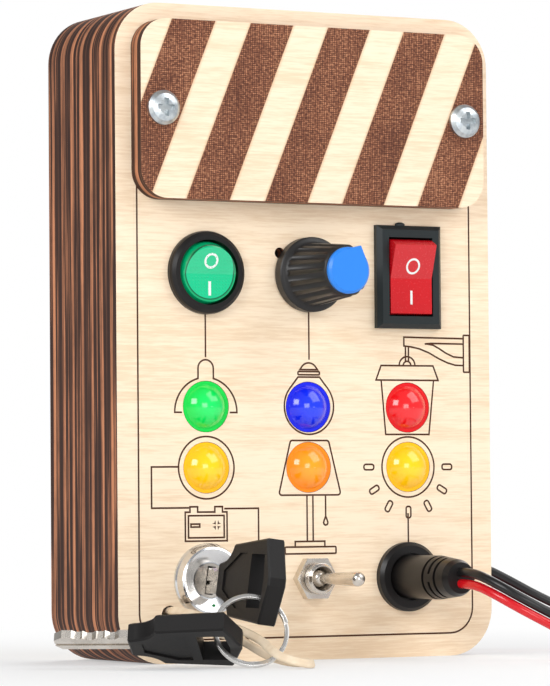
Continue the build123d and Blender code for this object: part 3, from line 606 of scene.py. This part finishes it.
# A closed strip whose front and back lie where the two functions of (x, z) say
def addStrip(work, points, width, closed, front, back):
    left, right = sides(points, width, closed)
    rings = []
    for a, b in zip(left, right):
        corners = [(a, front), (b, front), (b, back), (a, back)]
        rings.append([work.verts.new((p.x * mm, depth(p.x, p.y), p.y * mm)) for p, depth in corners])
    pairs = list(zip(rings, rings[1:] + rings[:1])) if closed else list(zip(rings, rings[1:]))
    for one, two in pairs:
        for i in range(4):
            j = (i + 1) % 4
            work.faces.new((one[i], one[j], two[j], two[i]))
    if not closed:
        work.faces.new(rings[0][::-1])
        work.faces.new(rings[-1])


def finishMesh(name, work):
    bmesh.ops.recalc_face_normals(work, faces=work.faces)
    mesh = bpy.data.meshes.new(name)
    work.to_mesh(mesh)
    work.free()
    return mesh


# The drawing that the laser cut into the front: (closed, points) in millimetres
drawing = {"line": 0.36, "depth": 0.25, "inset": 4.6, "borderRadius": 5.2, "width": 85.0, "height": 130.0}
lampRows = (50.45, 38.4)


def border():
    x = drawing["width"] / 2 - drawing["inset"]
    outline = box(-x, drawing["inset"], x, drawing["height"] - drawing["inset"])
    return [(True, rounded(outline, drawing["borderRadius"], 8))]


def pendantLamp():
    x, z, radius, cap = columns[0], 49.3, 6.9, 1.7
    meet = math.degrees(math.asin(cap / radius))
    left, right = arc(x, z, radius, 180, 90 + meet), arc(x, z, radius, 90 - meet, 0)
    shade = left + arc(x, 58.0, cap, 180, 0, 12) + right
    return [(False, [(x - 5.3, z)] + shade + [(x + 5.3, z)]), (False, [(x, 68.8), (x, 60.2)])]


# From a point outside a circle, the angle of the place where its tangent meets it
def tangentAngle(x, z, radius, fromX, fromZ, side):
    reach = math.hypot(fromX - x, fromZ - z)
    return math.degrees(math.atan2(fromZ - z, fromX - x) + side * math.acos(radius / reach))


def bulb():
    x, z, radius, neck, neckZ = 0.2, 50.6, 5.62, 2.45, 56.45
    left = tangentAngle(x, z, radius, x - neck, neckZ, 1)
    right = tangentAngle(x, z, radius, x + neck, neckZ, -1)
    glass = [(x + neck, neckZ), (x - neck, neckZ)] + arc(x, z, radius, left, right + 360, 48)
    cap = [(x - 2.0, 57.95)] + arc(x, 57.3, 2.0, 150, 30, 10) + [(x + 2.0, 57.95)]
    return [
        (True, glass),
        (True, rounded(box(x - 2.45, 56.92, x + 2.45, 57.55), 0.2, 3)),
        (True, cap),
        (False, [(x + 0.1, 69.5), (x + 0.1, 59.95)]),
    ]


def lantern():
    x = columns[2]
    post = rounded(box(36.35, 57.75, 37.75, 65.3), 0.15, 2)
    beam = [(36.35, 64.6), (22.3, 64.75), (22.3, 62.95), (23.9, 62.8)]
    lowBrace = [(26.0, 62.4), (28.2, 61.6), (30.4, 60.5), (32.6, 59.6), (34.4, 59.15), (36.3, 59.1)]
    highBrace = [(27.6, 63.45), (29.2, 63.2), (30.6, 62.5), (32.2, 61.6), (34.0, 60.85), (36.3, 60.7)]
    return [
        (True, post),
        (False, beam + lowBrace),
        (False, highBrace),
        (False, [(27.2, 63.4), (28.6, 63.55), (36.3, 63.5)]),
        (False, [(x - 0.35, 62.8), (x - 0.35, 59.6)]),
        (False, [(x + 0.35, 62.8), (x + 0.35, 59.6)]),
        (False, arc(x, 58.95, 1.85, 180, 0, 16)),
        (False, arc(x, 58.95, 0.9, 180, 0, 10)),
        (True, [(15.7, 56.0), (30.3, 56.0), (29.1, 58.95), (16.9, 58.95)]),
        (False, [(16.9, 56.0), (17.85, 45.0), (28.0, 45.0), (29.2, 56.0)]),
    ]


def batteryLoop():
    x, z = columns[0], lampRows[1]
    case = [
        (-27.75, 23.95), (-18.5, 23.95), (-18.5, 29.65), (-19.5, 29.65), (-19.5, 30.7), (-21.2, 30.7),
        (-21.2, 29.65), (-25.0, 29.65), (-25.0, 30.7), (-26.7, 30.7), (-26.7, 29.65), (-27.75, 29.65),
    ]
    return [
        (True, circle(x, z, 6.15)),
        (False, [(x - 6.15, 38.57), (-35.1, 38.57), (-35.1, 30.5), (-26.9, 30.5)]),
        (True, case),
        (True, box(-27.05, 24.6, -19.15, 28.95)),
        (True, box(-26.5, 26.72, -24.55, 27.3)),
        (True, plusOutline(-20.8, 27.05, 1.0, 0.32)),
        (False, [(-19.1, 30.3), (-11.45, 30.3), (-11.45, 23.6)]),
    ]


def plusOutline(x, z, reach, half):
    quarter = [(half, reach), (half, half), (reach, half)]
    turned = []
    for a, b in ((1, 0), (0, -1), (-1, 0), (0, 1)):
        turned += [(x + a * u + b * v, z + a * v - b * u) for u, v in quarter]
    return turned[::-1]


def tableLamp():
    x = 0.25
    shade = [(x - 7.1, 32.85), (x + 7.1, 32.85), (x + 4.35, 43.76), (x - 4.35, 43.76)]
    drop = [
        (3.8, 28.6), (3.45, 27.8), (3.3, 27.3), (3.45, 26.95),
        (3.8, 26.8), (4.15, 26.95), (4.3, 27.3), (4.15, 27.8),
    ]
    return [
        (True, rounded(shade, 0.55, 4)),
        (False, [(x - 0.7, 32.85), (x - 0.7, 23.6)]),
        (False, [(x + 0.65, 32.85), (x + 0.65, 23.6)]),
        (True, box(x - 3.45, 22.5, x + 3.3, 23.6)),
        (True, rounded(box(x - 5.75, 21.15, x + 5.85, 22.5), 0.2, 2)),
        (False, [(3.8, 32.85), (3.8, 28.6)]),
        (True, drop),
    ]


def sun():
    x, z = columns[2], lampRows[1]
    lines = [(True, circle(x, z, 6.1)), (False, [(x - 0.1, 29.05), (x - 0.1, 23.2)])]
    for turn in range(180, 361, 30):
        ray = rounded(box(8.0, -0.55, 10.3, 0.55), 0.45, 4)
        cos, sin = math.cos(math.radians(turn)), math.sin(math.radians(turn))
        lines.append((True, [(x + u * cos - v * sin, z + u * sin + v * cos) for u, v in ray]))
    return lines


# A copy of a node, its loose triangles joined first, with the cutter's shape taken out of it
def carved(node, name, cutter, material):
    work = bmesh.new()
    work.from_mesh(nodes[node].data)
    bmesh.ops.remove_doubles(work, verts=work.verts, dist=0.001 * mm)
    piece = addObject(name, finishMesh(name, work), material)
    cut = piece.modifiers.new("cut", "BOOLEAN")
    cut.object = cutter
    cut.operation = "DIFFERENCE"
    cut.solver = "EXACT"
    cut.use_self = True
    mesh = bpy.data.meshes.new_from_object(piece.evaluated_get(bpy.context.evaluated_depsgraph_get()))
    piece.modifiers.clear()
    piece.data = mesh
    bpy.data.objects.remove(cutter)
    return piece


def buildFront():
    work = bmesh.new()
    out, floor = ply["front"] - 0.1 * mm, ply["front"] + drawing["depth"] * mm
    for part in (border, pendantLamp, bulb, lantern, batteryLoop, tableLamp, sun):
        for closed, points in part():
            addStrip(work, points, drawing["line"], closed, lambda x, z: out, lambda x, z: floor)
    cutter = addObject("grooves", finishMesh("grooves", work), "plywood")
    panel = carved("front_panel", "engraved_front", cutter, "plywood")
    settle(panel, "root", "plywood", "front_panel")
    print("front engraved:", len(panel.data.polygons), "faces")


buildFront()


# The O and I printed on the rockers, laid on their surface
marks = {
    "thickness": 0.05,
    "lift": 0.04,
    "barWiden": 1.25,
    "barSteps": 6,
    "round": {"x": columns[0], "ringZ": 79.1, "radius": 1.3, "barZ": 73.7, "bar": 2.8, "width": 0.45},
    "rect": {"x": columns[2], "ringZ": 79.0, "radius": 1.4, "barZ": 72.7, "bar": 2.8, "width": 0.4},
}


def buildMarks(name, slot):
    surface = BVHTree.FromObject(nodes[name + "_rocker"], bpy.context.evaluated_depsgraph_get())
    mark = marks[name]

    def above(lift):
        def depth(px, pz):
            hit = surface.ray_cast(Vector((px * mm, -0.1, pz * mm)), Vector((0, 1, 0)))[0]
            return hit.y - lift * mm

        return depth

    work = bmesh.new()
    front, back = above(marks["lift"]), above(marks["lift"] - marks["thickness"])
    addStrip(work, circle(mark["x"], mark["ringZ"], mark["radius"], 40), mark["width"], True, front, back)
    foot, steps = mark["barZ"] - mark["bar"] / 2, marks["barSteps"]
    bar = [(mark["x"], foot + mark["bar"] * i / steps) for i in range(steps + 1)]
    addStrip(work, bar, mark["width"] * marks["barWiden"], False, front, back)
    piece = addObject(name + "_marks", finishMesh(name + "_marks", work), "print")
    settle(piece, name + "_rocker", slot)


buildMarks("round", "green_lens")
buildMarks("rect", "red_rocker")
print("rocker marks laid")


# Geometry Nodes trees
class Growth:
    def __init__(self, name, **sizes):
        self.tree = bpy.data.node_groups.new(name, "GeometryNodeTree")
        self.tree.interface.new_socket("Geometry", in_out="OUTPUT", socket_type="NodeSocketGeometry")
        self.sizes = sizes
        kinds = {float: "NodeSocketFloat", int: "NodeSocketInt", bpy.types.Object: "NodeSocketObject"}
        for label, value in sizes.items():
            self.tree.interface.new_socket(label, in_out="INPUT", socket_type=kinds[type(value)])
        self.inputs = self.tree.nodes.new("NodeGroupInput")

    def size(self, label):
        return self.inputs.outputs[label]

    def add(self, kind, settings, values, output=0):
        node = self.tree.nodes.new(kind)
        for setting, value in settings.items():
            setattr(node, setting, value)
        for socket, value in values.items():
            if isinstance(value, bpy.types.NodeSocket):
                self.tree.links.new(value, node.inputs[socket])
            else:
                node.inputs[socket].default_value = value
        return node.outputs[output]

    # Ends the tree and gives the plain mesh that it makes
    def grow(self, geometry, material):
        real = self.add("GeometryNodeRealizeInstances", {}, {0: geometry})
        painted = self.add("GeometryNodeSetMaterial", {}, {0: real, "Material": materials[material]})
        end = self.tree.nodes.new("NodeGroupOutput")
        self.tree.links.new(painted, end.inputs[0])
        holder = addObject(self.tree.name, bpy.data.meshes.new(self.tree.name), material)
        modifier = holder.modifiers.new("grow", "NODES")
        modifier.node_group = self.tree
        sockets = {s.name: s.identifier for s in self.tree.interface.items_tree if s.in_out == "INPUT"}
        for label, value in self.sizes.items():
            modifier[sockets[label]] = value
        mesh = bpy.data.meshes.new_from_object(holder.evaluated_get(bpy.context.evaluated_depsgraph_get()))
        bpy.data.objects.remove(holder)
        return mesh


# Split ring: two turns of flat wire whose ends show
ring = {
    "centre": (-26.93, -41.05, 7.07), "turned": 18.0, "lean": 24.0,
    "radius": 6.95, "wire": 0.84, "thickness": 0.56, "pitch": 0.6, "soft": 0.14, "turns": 1.97,
}


def buildRing():
    growth = Growth(
        "split_ring", Radius=ring["radius"] * mm, Wire=ring["wire"] * mm, Thickness=ring["thickness"] * mm,
        Rise=2 * ring["pitch"] * mm, Turns=ring["turns"],
    )
    spiral = growth.add(
        "GeometryNodeCurveSpiral", {},
        {
            "Resolution": 96, "Rotations": growth.size("Turns"), "Start Radius": growth.size("Radius"),
            "End Radius": growth.size("Radius"), "Height": growth.size("Rise"),
        },
    )
    upright = growth.add("GeometryNodeSetCurveNormal", {"mode": "Z_UP"}, {0: spiral})
    profile = growth.add(
        "GeometryNodeCurvePrimitiveQuadrilateral", {},
        {"Width": growth.size("Wire"), "Height": growth.size("Thickness")},
    )
    soft = growth.add(
        "GeometryNodeFilletCurve", {"mode": "POLY"},
        {"Curve": profile, "Radius": ring["soft"] * mm, "Count": 3},
    )
    swept = {"Curve": upright, "Profile Curve": soft, "Fill Caps": True}
    wire = growth.add("GeometryNodeCurveToMesh", {}, swept)
    mesh = growth.grow(wire, "steel")
    turn, lean = math.radians(ring["turned"]), math.radians(ring["lean"])
    right = Vector((math.cos(turn), -math.sin(turn), 0))
    away = Vector((math.sin(turn), math.cos(turn), 0))
    up = away * math.sin(lean) + Vector((0, 0, math.cos(lean)))
    middle = Matrix.Translation((0, 0, -ring["pitch"] * mm))
    leaned = Matrix((right, up, right.cross(up))).transposed().to_4x4()
    mesh.transform(Matrix.Translation(Vector(ring["centre"]) * mm) @ leaned @ middle)
    piece = addObject("split_ring_wire", mesh, "steel")
    mesh.shade_smooth()
    mesh.set_sharp_from_angle(angle=math.radians(50))
    settle(piece, "key_ring", "steel", "key_ring")


buildRing()
print("split ring wound")


# Knob: flutes cut by leaning round bars that stand in a circle
knob = {
    "flutes": 18,
    "fluteRadius": 0.9,
    "depth": 0.27,
    "base": 6.3,
    "top": 5.2,
    "skirtY": -18.5,
    "frontY": -31.3,
    "startGap": 0.35,
    "barLength": 15.0,
    "creaseAngle": 32,
}


def buildKnob():
    lean = math.atan2(knob["base"] - knob["top"], knob["skirtY"] - knob["frontY"])
    growth = Growth(
        "knob_flutes", Count=knob["flutes"], Radius=knob["fluteRadius"] * mm, Length=knob["barLength"] * mm,
        Start=(knob["skirtY"] - knob["startGap"]) * mm,
        Lift=(knob["base"] + knob["fluteRadius"] - knob["depth"]) * mm, Lean=lean,
    )
    round40 = {"Vertices": 40, "Radius": growth.size("Radius"), "Depth": growth.size("Length")}
    bar = growth.add("GeometryNodeMeshCylinder", {}, round40)
    half = growth.add("ShaderNodeMath", {"operation": "MULTIPLY"}, {0: growth.size("Length"), 1: 0.5})
    up = growth.add("ShaderNodeCombineXYZ", {}, {"Z": half})
    raised = growth.add("GeometryNodeTransform", {}, {0: bar, "Translation": up})
    forward = growth.add("ShaderNodeMath", {"operation": "ADD"}, {0: growth.size("Lean"), 1: math.pi / 2})
    at = growth.add("ShaderNodeCombineXYZ", {}, {"Y": growth.size("Start"), "Z": growth.size("Lift")})
    tipped = growth.add("ShaderNodeCombineXYZ", {}, {"X": forward})
    leaning = growth.add("GeometryNodeTransform", {}, {0: raised, "Translation": at, "Rotation": tipped})
    index = growth.add("GeometryNodeInputIndex", {}, {})
    apart = 2 * math.pi / knob["flutes"]
    angle = growth.add("ShaderNodeMath", {"operation": "MULTIPLY"}, {0: index, 1: apart})
    turned = growth.add("ShaderNodeCombineXYZ", {}, {"Y": angle})
    middle = {"Count": growth.size("Count"), "Position": (0, 0, switchRow * mm)}
    spots = growth.add("GeometryNodePoints", {}, middle)
    bars = growth.add(
        "GeometryNodeInstanceOnPoints", {}, {"Points": spots, "Instance": leaning, "Rotation": turned}
    )
    cutter = addObject("knob_bars", growth.grow(bars, "knob_black"), "knob_black")
    body = carved("knob_body", "fluted_knob", cutter, "knob_black")
    body.data.shade_smooth()
    body.data.set_sharp_from_angle(angle=math.radians(knob["creaseAngle"]))
    settle(body, "knob", "knob_black", "knob_body")
    print("knob fluted:", len(body.data.polygons), "faces")


buildKnob()


# Thread turns on the toggle's bush, in front of its nut
thread = {"radius": 3.0, "round": 0.13, "pitch": 0.42, "turns": 4, "start": -17.75}


def buildThread():
    growth = Growth(
        "bush_thread", Turns=thread["turns"], Radius=thread["radius"] * mm, Round=thread["round"] * mm,
        Pitch=-thread["pitch"] * mm,
    )
    kinds = ((64, "Radius"), (8, "Round"))
    sizes = [{"Resolution": steps, "Radius": growth.size(label)} for steps, label in kinds]
    big, small = (growth.add("GeometryNodeCurvePrimitiveCircle", {}, size) for size in sizes)
    turn = growth.add("GeometryNodeCurveToMesh", {}, {"Curve": big, "Profile Curve": small})
    upright = growth.add("GeometryNodeTransform", {}, {0: turn, "Rotation": (math.pi / 2, 0, 0)})
    step = growth.add("ShaderNodeCombineXYZ", {}, {"Y": growth.size("Pitch")})
    first = (toggleX * mm, thread["start"] * mm, bottomRow * mm)
    row = growth.add(
        "GeometryNodeMeshLine", {},
        {"Count": growth.size("Turns"), "Start Location": first, "Offset": step},
    )
    turns = growth.add("GeometryNodeInstanceOnPoints", {}, {"Points": row, "Instance": upright})
    mesh = growth.grow(turns, "nickel")
    mesh.shade_smooth()
    settle(addObject("bush_thread_turns", mesh, "nickel"), "root", "nickel")


buildThread()


# A small latch nub on top of the rectangular switch's frame
latch = {"place": (21.2, -16.1, 87.5), "size": (1.15, 0.6, 0.55)}


def buildLatch():
    work = bmesh.new()
    bmesh.ops.create_uvsphere(work, u_segments=24, v_segments=12, radius=mm)
    bmesh.ops.scale(work, vec=latch["size"], verts=work.verts)
    bmesh.ops.translate(work, vec=[c * mm for c in latch["place"]], verts=work.verts)
    mesh = finishMesh("switch_latch", work)
    mesh.shade_smooth()
    settle(addObject("switch_latch", mesh, "slate"), "root", "black_gloss")


buildLatch()
print("thread and latch added")


# Small dots all over the green rocker's front
dots = {"pitch": 0.62, "radius": 0.17, "reach": 5.0, "fromY": -30.0, "middleY": -18.0, "flat": 0.35}


def buildDots():
    growth = Growth(
        "rocker_dots", Rocker=nodes["round_rocker"], Span=2 * dots["reach"] * mm,
        Count=int(2 * dots["reach"] / dots["pitch"]), Dot=dots["radius"] * mm,
    )
    grid = growth.add(
        "GeometryNodeMeshGrid", {},
        {
            "Size X": growth.size("Span"), "Size Y": growth.size("Span"),
            "Vertices X": growth.size("Count"), "Vertices Y": growth.size("Count"),
        },
    )
    before = (columns[0] * mm, dots["fromY"] * mm, switchRow * mm)
    upright = {0: grid, "Translation": before, "Rotation": (math.pi / 2, 0, 0)}
    stood = growth.add("GeometryNodeTransform", {}, upright)
    surface = growth.add("GeometryNodeObjectInfo", {}, {"Object": growth.size("Rocker")}, "Geometry")
    ray = {"Target Geometry": surface, "Ray Direction": (0, 1, 0), "Ray Length": 0.1}
    cast = growth.add("GeometryNodeRaycast", {}, ray).node
    laid = growth.add(
        "GeometryNodeSetPosition", {},
        {0: stood, "Selection": cast.outputs["Is Hit"], "Position": cast.outputs["Hit Position"]},
    )
    place = growth.add("GeometryNodeInputPosition", {}, {})
    middle = (columns[0] * mm, dots["middleY"] * mm, switchRow * mm)
    away = growth.add("ShaderNodeVectorMath", {"operation": "DISTANCE"}, {0: place, 1: middle}, "Value")
    outside = growth.add("ShaderNodeMath", {"operation": "GREATER_THAN"}, {0: away, 1: dots["reach"] * mm})
    kept = growth.add("GeometryNodeDeleteGeometry", {}, {0: laid, "Selection": outside})
    dot = growth.add("GeometryNodeMeshIcoSphere", {}, {"Radius": growth.size("Dot"), "Subdivisions": 1})
    flat = growth.add("GeometryNodeTransform", {}, {0: dot, "Scale": (1, dots["flat"], 1)})
    field = growth.add("GeometryNodeInstanceOnPoints", {}, {"Points": kept, "Instance": flat})
    mesh = growth.grow(field, "green_lens")
    settle(addObject("rocker_dot_field", mesh, "green_lens"), "round_rocker", "green_lens")
    print("rocker dots:", len(mesh.polygons), "faces")


buildDots()


# The lock's green spot
lockDot = {"x": -22.6, "z": 11.2, "radius": 0.42, "flat": 0.3}


def buildLockDot():
    surface = BVHTree.FromObject(nodes["lock_body"], bpy.context.evaluated_depsgraph_get())
    before = Vector((lockDot["x"] * mm, -0.1, lockDot["z"] * mm))
    hit = surface.ray_cast(before, Vector((0, 1, 0)))[0]
    work = bmesh.new()
    bmesh.ops.create_uvsphere(work, u_segments=20, v_segments=10, radius=lockDot["radius"] * mm)
    bmesh.ops.scale(work, vec=(1, lockDot["flat"], 1), verts=work.verts)
    bmesh.ops.translate(work, vec=hit, verts=work.verts)
    settle(addObject("lock_dot", finishMesh("lock_dot", work), "greenDot"), "root", "chrome")


buildLockDot()


# Stage: a pale floor that turns white away from the board, a white backdrop and four soft boxes
stage = {
    "floor": 1.6,
    "nearFade": 0.045,
    "farFade": 0.2,
    "lift": 0.4,
    "world": 0.38,
    "boxes": (
        {"side": -29, "rise": 23, "reach": 1.0, "size": 0.42, "power": 4.4},
        {"side": 22, "rise": 3, "reach": 1.0, "size": 0.42, "power": 2.6},
        {"side": 75, "rise": 40, "reach": 1.1, "size": 0.8, "power": 5.0},
        {"side": 165, "rise": 35, "reach": 1.1, "size": 0.8, "power": 5.0},
    ),
}


def whiteBehind(finish, shader, share=1.0):
    rays = finish.add("ShaderNodeLightPath", {}, {}).socket.node
    kinds = ("Is Camera Ray", "Is Glossy Ray", "Is Transmission Ray")
    seen = [Amount(finish, rays.outputs[kind]) for kind in kinds]
    white = finish.add("ShaderNodeEmission", {}, {"Color": (1, 1, 1, 1), "Strength": 1.0})
    factor = seen[0].most(seen[1]).most(seen[2]) * share
    return finish.add("ShaderNodeMixShader", {}, {0: factor, 1: shader, 2: white})


def buildFloor():
    finish = Finish("floorWhite", (246, 247, 248), Roughness=0.8, Specular_IOR_Level=0.1)
    x, y = finish.place()[:2]
    away = (x * x + y * y).math("SQRT")
    share = finish.step(away, stage["nearFade"], stage["farFade"]) * (1 - stage["lift"]) + stage["lift"]
    surface = whiteBehind(finish, Amount(finish, finish.shader.outputs[0]), share)
    finish.tree.links.new(surface.socket, finish.tree.nodes["Material Output"].inputs[0])
    work = bmesh.new()
    bmesh.ops.create_grid(work, x_segments=1, y_segments=1, size=stage["floor"])
    mesh = finishMesh("floor", work)
    floor = bpy.data.objects.new("floor", mesh)
    bpy.context.scene.collection.objects.link(floor)
    mesh.materials.append(finish.material)
    floor.location = (0, 0, -0.02 * mm)


def buildWorld():
    world = bpy.data.worlds.new("studio")
    world.use_nodes = True
    bpy.context.scene.world = world
    tree = world.node_tree
    tree.nodes.clear()
    rays = tree.nodes.new("ShaderNodeLightPath")
    white = tree.nodes.new("ShaderNodeBackground")
    soft = tree.nodes.new("ShaderNodeBackground")
    white.inputs["Strength"].default_value = 1.0
    soft.inputs["Strength"].default_value = stage["world"]
    for background in (white, soft):
        background.inputs["Color"].default_value = (1, 1, 1, 1)
    most = tree.nodes.new("ShaderNodeMath")
    most.operation = "MAXIMUM"
    tree.links.new(rays.outputs["Is Camera Ray"], most.inputs[0])
    tree.links.new(rays.outputs["Is Transmission Ray"], most.inputs[1])
    mix = tree.nodes.new("ShaderNodeMixShader")
    end = tree.nodes.new("ShaderNodeOutputWorld")
    tree.links.new(most.outputs[0], mix.inputs[0])
    tree.links.new(soft.outputs[0], mix.inputs[1])
    tree.links.new(white.outputs[0], mix.inputs[2])
    tree.links.new(mix.outputs[0], end.inputs[0])


def buildLights():
    middle = Vector((0, -0.015, 0.06))
    toCamera = Vector(camera["place"]) - middle
    bearing = math.atan2(toCamera.y, toCamera.x)
    for index, soft in enumerate(stage["boxes"]):
        turn = bearing + math.radians(soft["side"])
        rise = math.radians(soft["rise"])
        out = Vector((math.cos(turn) * math.cos(rise), math.sin(turn) * math.cos(rise), math.sin(rise)))
        data = bpy.data.lights.new(f"softBox{index + 1}", "AREA")
        data.shape = "SQUARE"
        data.size = soft["size"]
        data.energy = soft["power"]
        lamp = bpy.data.objects.new(data.name, data)
        bpy.context.scene.collection.objects.link(lamp)
        right = out.cross(Vector((0, 0, 1))).normalized()
        lamp.matrix_world = aimed(middle + out * soft["reach"], -right, (-right).cross(-out), -out)


buildFloor()
buildWorld()
buildLights()
print("stage set")
